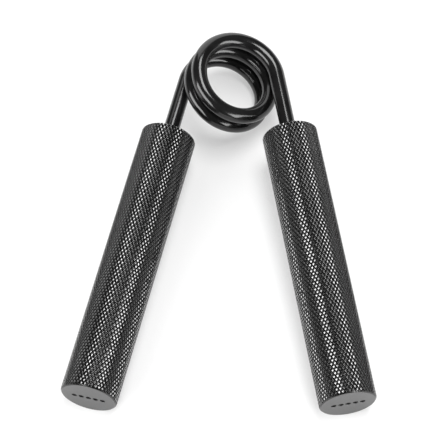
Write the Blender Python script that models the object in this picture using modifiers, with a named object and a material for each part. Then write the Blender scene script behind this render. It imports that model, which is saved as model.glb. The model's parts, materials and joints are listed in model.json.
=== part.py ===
"""Hand grip strengthener: one torsion spring with a solid aluminium handle on each of its two legs.

It lies as it does on a table, on the two handle ends and the underside of the coil. Z = 0 is the table,
+Y points from the handle ends to the coil and +X to the right-hand handle. The spring is one wire; its
coil and its two legs are separate solids here, because each leg turns with its own handle.
"""

from math import cos, pi, radians, sin, tau

import bpy
from mathutils import Matrix, Vector

# Driving dimensions, in metres and degrees.
WIRE_RADIUS = 0.00285
COIL_RADIUS = 0.01465
COIL_PITCH = 0.0072
WHOLE_TURNS = 2
HALF_OPENING = radians(11.45)
LEAN = radians(4.0)
LEG_SHOWN = 0.0250
LEG_HELD = 0.0400
HANDLE_RADIUS = 0.0100
HANDLE_LENGTH = 0.1063
RIM_CHAMFER = 0.0006
MOUTH_CHAMFER = 0.0004
FIT_GAP = 0.0003

# Facets: points along one turn of the coil, curve resolution of the wire, and sides of a handle.
POINTS_PER_TURN = 40
WIRE_RESOLUTION = 4
HANDLE_SIDES = 72

# The coil runs from the right leg's tangent point, turning towards +Y and down, to the left leg's.
COIL_START = HALF_OPENING
COIL_END = WHOLE_TURNS * tau + pi - HALF_OPENING
COIL_DROP = COIL_PITCH * (COIL_END - COIL_START) / tau

# Each leg's direction away from the coil, in the spring's own frame with +Z along the coil's axis.
RIGHT = Vector((sin(HALF_OPENING) * cos(LEAN), -cos(HALF_OPENING) * cos(LEAN), sin(LEAN)))
LEFT = Vector((-RIGHT.x, RIGHT.y, -RIGHT.z))

SETTLING_STEPS = 30


def coil_point(angle):
    """The wire's centre line at an angle about the coil's axis."""
    height = COIL_DROP / 2 - COIL_PITCH * (angle - COIL_START) / tau
    return Vector((COIL_RADIUS * cos(angle), COIL_RADIUS * sin(angle), height))


def coil_points(gap=0.0):
    """The wire's centre line round the coil, stopping short of each leg by the gap."""
    start = COIL_START + gap / COIL_RADIUS
    end = COIL_END - gap / COIL_RADIUS
    steps = round(POINTS_PER_TURN * (end - start) / tau)
    return [coil_point(start + (end - start) * step / steps) for step in range(steps + 1)]


def resting_up():
    """The upward direction, in the spring's frame, of the table under its three touching points."""
    up = Vector((0, 0, 1))
    for _ in range(SETTLING_STEPS):
        touching = []
        for tangent_angle, direction in ((COIL_START, RIGHT), (COIL_END, LEFT)):
            rim_centre = coil_point(tangent_angle) + direction * (LEG_SHOWN + HANDLE_LENGTH - RIM_CHAMFER)
            down = direction * up.dot(direction) - up
            touching.append(rim_centre + HANDLE_RADIUS * down.normalized())
        lowest_of_coil = min(coil_points(), key=up.dot)
        touching.append(lowest_of_coil - WIRE_RADIUS * up)
        right, left, coil = touching
        up = (right - left).cross(coil - left).normalized()
    return up


def make_material(name, colour, roughness, metallic):
    material = bpy.data.materials.new(name)
    material.use_nodes = True
    shader = material.node_tree.nodes["Principled BSDF"]
    shader.inputs["Base Color"].default_value = (*colour, 1.0)
    shader.inputs["Roughness"].default_value = roughness
    shader.inputs["Metallic"].default_value = metallic
    return material


def make_empty(name, parent, collection):
    empty = bpy.data.objects.new(name, None)
    empty.parent = parent
    collection.objects.link(empty)
    return empty


def make_wire(name, points, material, parent, collection):
    """A round wire along a row of points, with closed ends."""
    curve = bpy.data.curves.new(name, "CURVE")
    curve.dimensions = "3D"
    curve.bevel_depth = WIRE_RADIUS
    curve.bevel_resolution = WIRE_RESOLUTION
    curve.use_fill_caps = True
    curve.materials.append(material)
    spline = curve.splines.new("POLY")
    spline.points.add(len(points) - 1)
    for spline_point, place in zip(spline.points, points):
        spline_point.co = (*place, 1.0)
    wire = bpy.data.objects.new(name, curve)
    wire.parent = parent
    collection.objects.link(wire)


def make_handle(name, tangent_angle, direction, material, parent, collection):
    """A turned bar along its local Z, from the free end at Z = 0 to the end that the leg enters."""
    bore = WIRE_RADIUS + FIT_GAP
    bore_floor = HANDLE_LENGTH - LEG_HELD - FIT_GAP
    profile = [
        (0, bore_floor),
        (bore, bore_floor),
        (bore, HANDLE_LENGTH - MOUTH_CHAMFER),
        (bore + MOUTH_CHAMFER, HANDLE_LENGTH),
        (HANDLE_RADIUS - RIM_CHAMFER, HANDLE_LENGTH),
        (HANDLE_RADIUS, HANDLE_LENGTH - RIM_CHAMFER),
        (HANDLE_RADIUS, RIM_CHAMFER),
        (HANDLE_RADIUS - RIM_CHAMFER, 0),
        (0, 0),
    ]
    mesh = bpy.data.meshes.new(name)
    edges = [(index, index + 1) for index in range(len(profile) - 1)]
    mesh.from_pydata([(radius, 0, height) for radius, height in profile], edges, [])
    mesh.materials.append(material)
    handle = bpy.data.objects.new(name, mesh)
    handle.parent = parent
    handle.location = coil_point(tangent_angle) + direction * (LEG_SHOWN + HANDLE_LENGTH)
    handle.rotation_mode = "QUATERNION"
    handle.rotation_quaternion = (-direction).to_track_quat("Z", "Y")
    turn = handle.modifiers.new("turn", "SCREW")
    turn.steps = HANDLE_SIDES
    turn.render_steps = HANDLE_SIDES
    turn.use_merge_vertices = True
    turn.merge_threshold = 0.00005
    turn.use_smooth_shade = False
    collection.objects.link(handle)


def make_side(side, tangent_angle, direction, steel, aluminium, parent, collection):
    """One leg of the spring and the handle on it."""
    tangent_point = coil_point(tangent_angle)
    leg = [tangent_point + direction * FIT_GAP, tangent_point + direction * (LEG_SHOWN + LEG_HELD)]
    make_wire(side + "_spring_leg", leg, steel, parent, collection)
    make_handle(side + "_handle", tangent_angle, direction, aluminium, parent, collection)


def place_on_table(pose, collection):
    """Tilt the object as it rests, then put the middle of its underside at the origin."""
    up = resting_up()
    forward = (Vector((0, 1, 0)) - up * up.y).normalized()
    pose.matrix_world = Matrix((forward.cross(up), forward, up)).to_4x4()
    bpy.context.view_layer.update()
    depsgraph = bpy.context.evaluated_depsgraph_get()
    corners = []
    for piece in collection.objects:
        if piece.type != "EMPTY":
            shape = piece.evaluated_get(depsgraph)
            corners += [shape.matrix_world @ vertex.co for vertex in shape.to_mesh().vertices]
    lowest = Vector([min(corner[axis] for corner in corners) for axis in range(3)])
    highest = Vector([max(corner[axis] for corner in corners) for axis in range(3)])
    middle = (lowest + highest) / 2
    pose.location = (-middle.x, -middle.y, -lowest.z)


def main():
    for old in list(bpy.data.objects):
        bpy.data.objects.remove(old, do_unlink=True)
    collection = bpy.data.collections.new("hand_grip_strengthener")
    bpy.context.scene.collection.children.link(collection)

    steel = make_material("black_spring_steel", (0.020, 0.020, 0.021), 0.25, 0.6)
    left_aluminium = make_material("left_black_aluminium", (0.045, 0.045, 0.047), 0.35, 0.8)
    right_aluminium = make_material("right_black_aluminium", (0.045, 0.045, 0.047), 0.35, 0.8)

    resting_pose = make_empty("resting_pose", None, collection)
    left_side = make_empty("left_side", resting_pose, collection)
    right_side = make_empty("right_side_on_coil_axis", resting_pose, collection)

    make_wire("spring_coil", coil_points(gap=FIT_GAP / 2), steel, left_side, collection)
    make_side("left", COIL_END, LEFT, steel, left_aluminium, left_side, collection)
    make_side("right", COIL_START, RIGHT, steel, right_aluminium, right_side, collection)
    place_on_table(resting_pose, collection)


main()
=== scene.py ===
"""Looks of the hand grip strengthener: knurled black handles on one glossy black torsion spring.

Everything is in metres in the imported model's frame: Z = 0 is the table and +Y points to the coil.
"""

import json
import random
from math import ceil, cos, pi, radians, sin, tau

import bmesh
import bpy
from mathutils import Matrix, Vector


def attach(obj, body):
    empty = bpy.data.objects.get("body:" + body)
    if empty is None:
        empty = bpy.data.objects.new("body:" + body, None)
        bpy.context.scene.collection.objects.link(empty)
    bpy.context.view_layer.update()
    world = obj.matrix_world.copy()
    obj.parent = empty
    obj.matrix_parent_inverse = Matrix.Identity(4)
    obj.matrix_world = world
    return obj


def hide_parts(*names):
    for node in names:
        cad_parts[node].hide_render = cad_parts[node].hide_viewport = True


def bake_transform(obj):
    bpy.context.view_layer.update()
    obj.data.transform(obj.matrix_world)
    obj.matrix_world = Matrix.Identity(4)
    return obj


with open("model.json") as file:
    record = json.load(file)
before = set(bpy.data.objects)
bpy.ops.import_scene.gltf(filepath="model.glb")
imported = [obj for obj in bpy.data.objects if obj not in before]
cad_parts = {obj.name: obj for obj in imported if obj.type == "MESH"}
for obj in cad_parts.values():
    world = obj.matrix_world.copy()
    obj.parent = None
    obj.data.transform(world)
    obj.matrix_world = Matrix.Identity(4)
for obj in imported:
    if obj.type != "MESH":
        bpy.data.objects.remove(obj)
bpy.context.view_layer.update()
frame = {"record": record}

# Sizes that the CAD model is built from, repeated here because its source can't be read.
WIRE_RADIUS = 0.00285
COIL_RADIUS = 0.01465
COIL_PITCH = 0.0072
WHOLE_TURNS = 2
HALF_OPENING = radians(11.45)
COIL_START = HALF_OPENING
COIL_END = WHOLE_TURNS * tau + pi - HALF_OPENING
COIL_DROP = COIL_PITCH * (COIL_END - COIL_START) / tau
LEG_SHOWN = 0.0250
LEG_HELD = 0.0400
HANDLE_RADIUS = 0.0100
HANDLE_LENGTH = 0.1063
RIM_CHAMFER = 0.0006
MOUTH_CHAMFER = 0.0004
FIT_GAP = 0.0003

# Knurl: two sets of V grooves that cross and leave rows of blunt pyramids.
GROOVES_AROUND = 48
GROOVE_PITCH_ALONG = 0.00235
# Rings of one pyramid, from groove to crest: share of the cell, and depth below the crest.
PYRAMID_RINGS = ((0.0, 0.00034), (0.21, 0.00011), (0.46, 0.0))
CREST_UNEVENNESS = 0.000002
RIM_ROUNDING = 0.00008
BORE_STEPS = 96
HANDLE_SHARP_ANGLE = radians(20)
# Points nearer than these become one: within the unrolled sheet, at a cut, and at the rolled
# sheet's seam. PLANE_TOLERANCE is how near a point must be to a plane to lie in it.
SHEET_MERGE = 1e-7
CUT_MERGE = 1e-8
SEAM_MERGE = 2e-7
PLANE_TOLERANCE = 1e-7

# Mark sunk in each handle's free end: a plain row of round pips, with each pip's profile as
# radius and depth.
PIP_COUNT = 5
PIP_SPACING = 0.0025
PIP_PROFILE = ((0.00098, 0.0), (0.00091, 0.00007), (0.00080, 0.00034), (0.00040, 0.00042))
PIP_STEPS = 24

# Wire mesh.
WIRE_SIDES = 32
POINTS_PER_TURN = 96
LEG_STEPS = 12
WIRE_SHARP_ANGLE = radians(60)

# Softboxes: name, centre, bearing and tilt in degrees, width, length and radiance. Bearings go
# from the handles' side (-Y) towards +X; a tilt of 0 stands upright and 90 faces down.
SOFTBOXES = (
    ("softbox_left", (-0.297, -0.188, 0.222), -54, 0, 0.424, 0.246, 8.0),
    ("softbox_right", (0.352, -0.229, 0.180), 55, 0, 0.426, 0.23, 8.2),
    ("softbox_above", (0.185, 0.235, 1.000), 180, 90, 0.43, 0.72, 10.4),
    ("backdrop", (-0.150, 0.960, 0.620), 189, 0, 1.10, 1.20, 1.8),
)
WORLD_STRENGTH = 0.10

# The floor is a pale sheet that gives off a little light of its own, to keep the shadows pale.
FLOOR_HALF_WIDTH = 3.0
FLOOR_GREY = 0.45
FLOOR_GLOW = 0.40

# Camera: a long lens over the handles' free ends. Its azimuth goes from -Y towards +X.
CAMERA_TARGET = (-0.00046, -0.0028, 0.012)
CAMERA_ELEVATION = radians(60.62)
CAMERA_AZIMUTH = radians(5.33)
CAMERA_ROLL = radians(-3.60)
CAMERA_DISTANCE = 0.7542
CAMERA_LENS = 171.15
CAMERA_NEAR = 0.05

record = frame["record"]
hinge = record["behaviour"]["joints"][0]
ends = {mount["name"]: mount for mount in record["mounts"]}


def coil_frame():
    """Matrix from the spring's own frame (coil axis +Z, legs towards -Y) to the model's."""
    up = -Vector(hinge["axis"]).normalized()
    legs = Vector(ends["left_end_face"]["axis"]) + Vector(ends["right_end_face"]["axis"])
    back = -(legs - up * legs.dot(up)).normalized()
    columns = Matrix((back.cross(up), back, up)).transposed()
    return Matrix.Translation(hinge["pos_m"]) @ columns.to_4x4()


def handle_frame(side):
    """Matrix from a handle's frame (free end at the origin, +Z towards the coil) to the model's."""
    end = ends[side + "_end_face"]
    along = -Vector(end["axis"]).normalized()
    across = Vector((0, 0, 1)).cross(along).normalized()
    columns = Matrix((across, along.cross(across), along)).transposed()
    return Matrix.Translation(end["pos_m"]) @ columns.to_4x4()


def new_object(name, mesh):
    made = bpy.data.objects.new(name, mesh)
    bpy.context.scene.collection.objects.link(made)
    return made


def spring_route():
    """The wire's centre line in the model's frame, from the left leg's hidden end to the right one's."""
    place = coil_frame()
    steps = ceil(POINTS_PER_TURN * (COIL_END - COIL_START) / tau)
    coil = []
    for step in range(steps + 1):
        angle = COIL_END + (COIL_START - COIL_END) * step / steps
        height = COIL_DROP / 2 - COIL_PITCH * (angle - COIL_START) / tau
        coil.append(place @ Vector((COIL_RADIUS * cos(angle), COIL_RADIUS * sin(angle), height)))
    reach = LEG_SHOWN + LEG_HELD
    left = [coil[0] + Vector(ends["left_end_face"]["axis"]) * reach * step / LEG_STEPS
            for step in range(LEG_STEPS, 0, -1)]
    right = [coil[-1] + Vector(ends["right_end_face"]["axis"]) * reach * step / LEG_STEPS
             for step in range(1, LEG_STEPS + 1)]
    return left + coil + right


def make_spring():
    """One round wire swept along the whole route, with a frame carried along it without twist."""
    route = spring_route()
    tangents = [(route[min(i + 1, len(route) - 1)] - route[max(i - 1, 0)]).normalized()
                for i in range(len(route))]
    shape = bmesh.new()
    normal = tangents[0].orthogonal().normalized()
    rings = []
    for centre, tangent in zip(route, tangents):
        normal = (normal - tangent * normal.dot(tangent)).normalized()
        side = tangent.cross(normal)
        ring = []
        for step in range(WIRE_SIDES):
            angle = tau * step / WIRE_SIDES
            spoke = normal * cos(angle) + side * sin(angle)
            ring.append(shape.verts.new(centre + spoke * WIRE_RADIUS))
        rings.append(ring)
    for one, two in zip(rings, rings[1:]):
        for step in range(WIRE_SIDES):
            after = (step + 1) % WIRE_SIDES
            shape.faces.new((one[step], one[after], two[after], two[step]))
    shape.faces.new(list(reversed(rings[0])))
    shape.faces.new(rings[-1])
    bmesh.ops.recalc_face_normals(shape, faces=shape.faces)
    mesh = bpy.data.meshes.new("torsion_spring")
    shape.to_mesh(mesh)
    shape.free()
    mesh.shade_smooth()
    mesh.set_sharp_from_angle(angle=WIRE_SHARP_ANGLE)
    return new_object("torsion_spring", mesh)


def knurl_sheet(shape, chance):
    """The knurl, unrolled: X is the way around at the crest, Y the way along and Z the radius."""
    around = HANDLE_RADIUS * tau / GROOVES_AROUND
    rows = range(-2, ceil(2 * HANDLE_LENGTH / GROOVE_PITCH_ALONG) + 3)
    for column in range(2 * GROOVES_AROUND):
        for row in rows:
            if (column + row) % 2:
                continue
            middle = Vector((column * around / 2, row * GROOVE_PITCH_ALONG / 2, 0))
            rings = []
            for inset, depth in PYRAMID_RINGS:
                reach = 1 - 2 * inset
                ring = []
                for turn in range(4):
                    angle = turn * pi / 2
                    corner = Vector((cos(angle) * around, sin(angle) * GROOVE_PITCH_ALONG, 0))
                    uneven = chance.uniform(-CREST_UNEVENNESS, CREST_UNEVENNESS) if inset else 0
                    radius = Vector((0, 0, HANDLE_RADIUS - depth - abs(uneven)))
                    ring.append(shape.verts.new(middle + corner * reach / 2 + radius))
                rings.append(ring)
            for outer, inner in zip(rings, rings[1:]):
                for turn in range(4):
                    after = (turn + 1) % 4
                    shape.faces.new((outer[turn], outer[after], inner[after], inner[turn]))
            shape.faces.new(rings[-1])
    bmesh.ops.remove_doubles(shape, verts=shape.verts, dist=SHEET_MERGE)


def cut_rim(shape, edge, outward):
    """Cut the unrolled knurl by a rim's chamfer, and carry the cut edge on to the flat end."""
    plane = Vector((0, edge - outward * RIM_CHAMFER, HANDLE_RADIUS))
    slope = Vector((0, outward, 1)).normalized()
    everything = list(shape.verts) + list(shape.edges) + list(shape.faces)
    cut = bmesh.ops.bisect_plane(shape, geom=everything, plane_co=plane, plane_no=slope,
                                 clear_outer=True, dist=CUT_MERGE)["geom_cut"]
    rim = [item for item in cut if isinstance(item, bmesh.types.BMEdge)]
    for inset in (RIM_ROUNDING, 0.0):
        made = bmesh.ops.extrude_edge_only(shape, edges=rim)["geom"]
        rim = [item for item in made if isinstance(item, bmesh.types.BMEdge)]
        shelf = RIM_CHAMFER - inset if inset else RIM_CHAMFER + RIM_ROUNDING
        for vert in (item for item in made if isinstance(item, bmesh.types.BMVert)):
            vert.co.y = edge - outward * inset
            vert.co.z = HANDLE_RADIUS - shelf
    return rim


def circle_edges(shape, centre, radius, height, steps):
    """A closed ring of edges round a centre, in the plane at that height."""
    ring = []
    for step in range(steps):
        angle = tau * step / steps
        place = (centre[0] + radius * cos(angle), centre[1] + radius * sin(angle), height)
        ring.append(shape.verts.new(place))
    return [shape.edges.new((ring[step], ring[(step + 1) % steps])) for step in range(steps)]


def sink(shape, edges, centre, steps):
    """Extrude a ring of edges through a list of (radius, height), and close it at the last."""
    for radius, height in steps:
        made = bmesh.ops.extrude_edge_only(shape, edges=edges)["geom"]
        edges = [item for item in made if isinstance(item, bmesh.types.BMEdge)]
        for vert in (item for item in made if isinstance(item, bmesh.types.BMVert)):
            spoke = (Vector(vert.co.xy) - Vector(centre)).normalized() * radius
            vert.co = (centre[0] + spoke.x, centre[1] + spoke.y, height)
    bmesh.ops.contextual_create(shape, geom=edges)


def roll_up(shape):
    """Wrap the unrolled sheet round the handle's axis and join its two sides."""
    for vert in shape.verts:
        angle, along, radius = vert.co.x / HANDLE_RADIUS, vert.co.y, vert.co.z
        vert.co = (radius * cos(angle), radius * sin(angle), along)
    bmesh.ops.remove_doubles(shape, verts=shape.verts, dist=SEAM_MERGE)


def open_edges_at(shape, height):
    """The edges of a hole that lies in the plane at that height."""
    return [edge for edge in shape.edges if edge.is_boundary
            and all(abs(vert.co.z - height) < PLANE_TOLERANCE for vert in edge.verts)]


def make_handle(side, seed):
    """A knurled bar with chamfered ends, a row of sunk pips in its free end and a blind bore."""
    shape = bmesh.new()
    knurl_sheet(shape, random.Random(seed))
    cut_rim(shape, 0.0, -1)
    cut_rim(shape, HANDLE_LENGTH, 1)
    roll_up(shape)
    knurled = set(shape.faces)

    free_end = open_edges_at(shape, 0.0)
    pips = []
    for place in range(PIP_COUNT):
        centre = ((place - (PIP_COUNT - 1) / 2) * PIP_SPACING, 0.0)
        pips.append((centre, circle_edges(shape, centre, PIP_PROFILE[0][0], 0.0, PIP_STEPS)))
    flat = free_end + [edge for centre, ring in pips for edge in ring]
    bmesh.ops.triangle_fill(shape, use_beauty=True, edges=flat)
    for centre, ring in pips:
        sink(shape, ring, centre, PIP_PROFILE[1:])

    bore = WIRE_RADIUS + FIT_GAP
    mouth = circle_edges(shape, (0, 0), bore + MOUTH_CHAMFER, HANDLE_LENGTH, BORE_STEPS)
    flat = open_edges_at(shape, HANDLE_LENGTH) + mouth
    bmesh.ops.triangle_fill(shape, use_beauty=True, edges=flat)
    bottom = HANDLE_LENGTH - LEG_HELD - FIT_GAP
    sink(shape, mouth, (0, 0), ((bore, HANDLE_LENGTH - MOUTH_CHAMFER), (bore, bottom)))

    for face in shape.faces:
        height = face.calc_center_median().z
        chamfered = height < RIM_CHAMFER or height > HANDLE_LENGTH - RIM_CHAMFER
        face.material_index = 1 if chamfered or face not in knurled else 0
    bmesh.ops.recalc_face_normals(shape, faces=shape.faces)
    name = side + "_knurled_handle"
    mesh = bpy.data.meshes.new(name)
    shape.to_mesh(mesh)
    shape.free()
    mesh.shade_smooth()
    mesh.set_sharp_from_angle(angle=HANDLE_SHARP_ANGLE)
    handle = new_object(name, mesh)
    handle.matrix_world = handle_frame(side)
    return handle


class Nodes:
    """A small helper to build one material's node tree."""

    def __init__(self, name):
        self.material = bpy.data.materials.new(name)
        self.material.use_nodes = True
        self.tree = self.material.node_tree
        self.shader = self.tree.nodes["Principled BSDF"]

    def add(self, kind, inputs=(), **settings):
        node = self.tree.nodes.new("ShaderNode" + kind)
        for key, value in settings.items():
            setattr(node, key, value)
        for key, value in dict(inputs).items():
            self.feed(node.inputs[key], value)
        return node

    def feed(self, socket, value):
        if isinstance(value, bpy.types.NodeSocket):
            self.tree.links.new(value, socket)
        else:
            socket.default_value = value

    def shade(self, **inputs):
        """Set the shader's sockets, with _ for the space in a socket's name."""
        for key, value in inputs.items():
            self.feed(self.shader.inputs[key.replace("_", " ")], value)

    def position(self):
        """Place in the part's own frame."""
        return self.add("TexCoord").outputs["Object"]

    def noise(self, scale, detail=3.0, roughness=0.5):
        made = self.add("TexNoise", {"Vector": self.position(), "Scale": scale, "Detail": detail,
                                     "Roughness": roughness})
        return made.outputs["Fac"]

    def spread(self, value, low, high, to_low, to_high):
        """Map low..high to to_low..to_high, and stay at the nearer end outside it."""
        made = self.add("MapRange", {"Value": value, "From Min": low, "From Max": high,
                                     "To Min": to_low, "To Max": to_high})
        return made.outputs["Result"]

    def maths(self, operation, first, second=0.0):
        made = self.add("Math", operation=operation)
        self.feed(made.inputs[0], first)
        self.feed(made.inputs[1], second)
        return made.outputs[0]

    def colour_mix(self, share, first, second):
        made = self.add("Mix", data_type="RGBA")
        self.feed(made.inputs["Factor"], share)
        self.feed(made.inputs[6], first)
        self.feed(made.inputs[7], second)
        return made.outputs[2]

    def off_axis(self):
        """Distance from the part's own Z axis."""
        split = self.add("SeparateXYZ", {"Vector": self.position()})
        x_squared = self.maths("MULTIPLY", split.outputs["X"], split.outputs["X"])
        y_squared = self.maths("MULTIPLY", split.outputs["Y"], split.outputs["Y"])
        return self.maths("SQRT", self.maths("ADD", x_squared, y_squared))

    def bump(self, height, distance, strength=1.0, normal=None):
        made = self.add("Bump", {"Height": height, "Distance": distance, "Strength": strength})
        if normal is not None:
            self.feed(made.inputs["Normal"], normal)
        return made.outputs["Normal"]


def grey(value):
    return (value, value, value, 1.0)


def knurled_aluminium():
    """Black anodised aluminium: rougher in the grooves and darkened there by painted shade, rubbed
    lighter and smooth on the crests.
    """
    # The groove grey is painted shade in the knurl's recesses; the lighter crest grey is rubbed wear.
    groove = grey(0.022)
    rubbed = grey(0.158)
    # Radii over which the painted groove shade gives way to crest wear.
    groove_shade_lifts_from = HANDLE_RADIUS - 0.00019
    crest_wear_full_at = HANDLE_RADIUS - 0.00012
    nodes = Nodes("black_anodised_knurl")
    crest = nodes.spread(nodes.off_axis(), groove_shade_lifts_from, crest_wear_full_at, 0.0, 1.0)
    patches = nodes.noise(70.0, detail=4.0)
    grain = nodes.noise(2600.0, detail=2.0)
    # Mask: 1 for crest wear, 0 for painted shade in the grooves, a little patchy along the handle.
    crest_wear_and_groove_shade = nodes.maths("MULTIPLY", crest, nodes.spread(patches, 0.3, 0.7, 0.75, 1.0))
    nodes.shade(
        Base_Color=nodes.colour_mix(crest_wear_and_groove_shade, groove, rubbed),
        Metallic=1.0,
        Roughness=nodes.maths("ADD", nodes.spread(crest_wear_and_groove_shade, 0.0, 1.0, 0.34, 0.13),
                              nodes.spread(patches, 0.3, 0.7, -0.02, 0.04)),
        Normal=nodes.bump(grain, 0.000003, 0.4),
    )
    return nodes.material


def turned_aluminium():
    """The same finish on the turned ends, with the fine rings that the lathe leaves.

    The pips are darkened inside with painted shade, and the rim's chamfer is smoother than the flat and
    darkened with a painted dark reflection.
    """
    pip_top, pip_deep = 0.00001, 0.00012
    pips_within, pips_end = 0.0070, 0.0075
    rim_from, rim_to = 0.00935, 0.00945
    nodes = Nodes("black_anodised_turned")
    rings = nodes.add("TexWave", {"Vector": nodes.position(), "Scale": 1300.0, "Distortion": 0.6,
                                  "Detail": 2.0, "Detail Scale": 1.5},
                      wave_type="RINGS", rings_direction="Z")
    patches = nodes.noise(160.0, detail=4.0)
    grain = nodes.noise(3000.0, detail=2.0)
    ringed = nodes.bump(rings.outputs["Fac"], 0.000004, 0.7)
    split = nodes.add("SeparateXYZ", {"Vector": nodes.position()})
    radius = nodes.off_axis()
    # Depth mask of the pips, where painted shade darkens the colour.
    sunk = nodes.spread(split.outputs["Z"], pip_top, pip_deep, 0.0, 1.0)
    pip = nodes.maths("MULTIPLY", sunk, nodes.spread(radius, pips_within, pips_end, 1.0, 0.0))
    # The chamfer's mask: a painted dark reflection on its colour, and a smoother finish.
    rim = nodes.spread(radius, rim_from, rim_to, 0.0, 1.0)
    patchy = nodes.spread(patches, 0.3, 0.7, 0.0, 1.0)
    flat = nodes.colour_mix(patchy, grey(0.136), grey(0.164))
    # Painted shade in the pips and a painted dark reflection on the chamfer, both towards near black.
    shaded = nodes.maths("MAXIMUM", pip, nodes.maths("MULTIPLY", rim, 0.55))
    polish = nodes.maths("MULTIPLY", rim, 0.20)
    nodes.shade(
        Base_Color=nodes.colour_mix(shaded, flat, grey(0.012)),
        Metallic=1.0,
        Roughness=nodes.maths("SUBTRACT", nodes.spread(patches, 0.3, 0.7, 0.34, 0.44), polish),
        Normal=nodes.bump(grain, 0.000006, 0.4, ringed),
    )
    return nodes.material


def black_spring_steel():
    """Glossy black finish on drawn wire, with a faint orange peel and small dull patches."""
    nodes = Nodes("glossy_black_spring_steel")
    peel = nodes.noise(520.0, detail=3.0)
    pits = nodes.noise(2600.0, detail=2.0)
    patches = nodes.noise(110.0, detail=5.0, roughness=0.6)
    smooth = nodes.bump(peel, 0.000005, 0.5)
    dull = nodes.spread(patches, 0.35, 0.75, 0.0, 1.0)
    nodes.shade(
        Base_Color=nodes.colour_mix(dull, grey(0.004), grey(0.009)),
        Roughness=nodes.spread(patches, 0.3, 0.75, 0.12, 0.20),
        Specular_IOR_Level=0.4,
        Coat_Weight=0.20,
        Coat_Roughness=0.12,
        Normal=nodes.bump(pits, 0.000002, 0.4, smooth),
    )
    return nodes.material


def make_floor():
    mesh = bpy.data.meshes.new("floor")
    shape = bmesh.new()
    bmesh.ops.create_grid(shape, x_segments=1, y_segments=1, size=FLOOR_HALF_WIDTH)
    shape.to_mesh(mesh)
    shape.free()
    nodes = Nodes("pale_floor")
    nodes.shade(
        Base_Color=grey(FLOOR_GREY),
        Roughness=0.9,
        Specular_IOR_Level=0.1,
        Emission_Strength=FLOOR_GLOW,
    )
    mesh.materials.append(nodes.material)
    floor = new_object("floor", mesh)


def make_softbox(name, place, bearing, tilt, width, length, radiance):
    """A rectangular light that stands round the object and faces it."""
    lamp = bpy.data.lights.new(name, "AREA")
    lamp.shape = "RECTANGLE"
    lamp.size = width
    lamp.size_y = length
    lamp.energy = radiance * pi * width * length
    light = new_object(name, lamp)
    light.visible_camera = False
    turned = Matrix.Rotation(radians(bearing), 4, "Z")
    leaned = Matrix.Rotation(pi / 2 - radians(tilt), 4, "X")
    light.matrix_world = Matrix.Translation(place) @ turned @ leaned


def make_lights():
    for softbox in SOFTBOXES:
        make_softbox(*softbox)
    world = bpy.data.worlds.new("studio")
    world.use_nodes = True
    background = world.node_tree.nodes["Background"]
    background.inputs["Color"].default_value = grey(1.0)
    background.inputs["Strength"].default_value = WORLD_STRENGTH
    bpy.context.scene.world = world


def make_camera():
    """A long lens that looks down on the object from the side of the handles' free ends."""
    level = cos(CAMERA_ELEVATION)
    back = Vector((level * sin(CAMERA_AZIMUTH), -level * cos(CAMERA_AZIMUTH), sin(CAMERA_ELEVATION)))
    camera = new_object("camera", bpy.data.cameras.new("camera"))
    camera.data.lens = CAMERA_LENS
    camera.data.clip_start = CAMERA_NEAR
    place = Matrix.Translation(Vector(CAMERA_TARGET) + back * CAMERA_DISTANCE)
    turn = back.to_track_quat("Z", "Y").to_matrix().to_4x4()
    camera.matrix_world = place @ turn @ Matrix.Rotation(CAMERA_ROLL, 4, "Z")
    bpy.context.scene.camera = camera


def main():
    knurl = knurled_aluminium()
    turned = turned_aluminium()
    for seed, side in enumerate(("left", "right")):
        handle = make_handle(side, seed)
        handle.data.materials.append(knurl)
        handle.data.materials.append(turned)
        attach(handle, side + "_side")
        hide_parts(side + "_handle")

    spring = make_spring()
    spring.data.materials.append(black_spring_steel())
    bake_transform(spring)
    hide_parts("spring_coil", "left_spring_leg", "right_spring_leg")

    make_floor()
    make_lights()
    make_camera()
    bpy.context.scene.view_settings.view_transform = "Standard"


main()
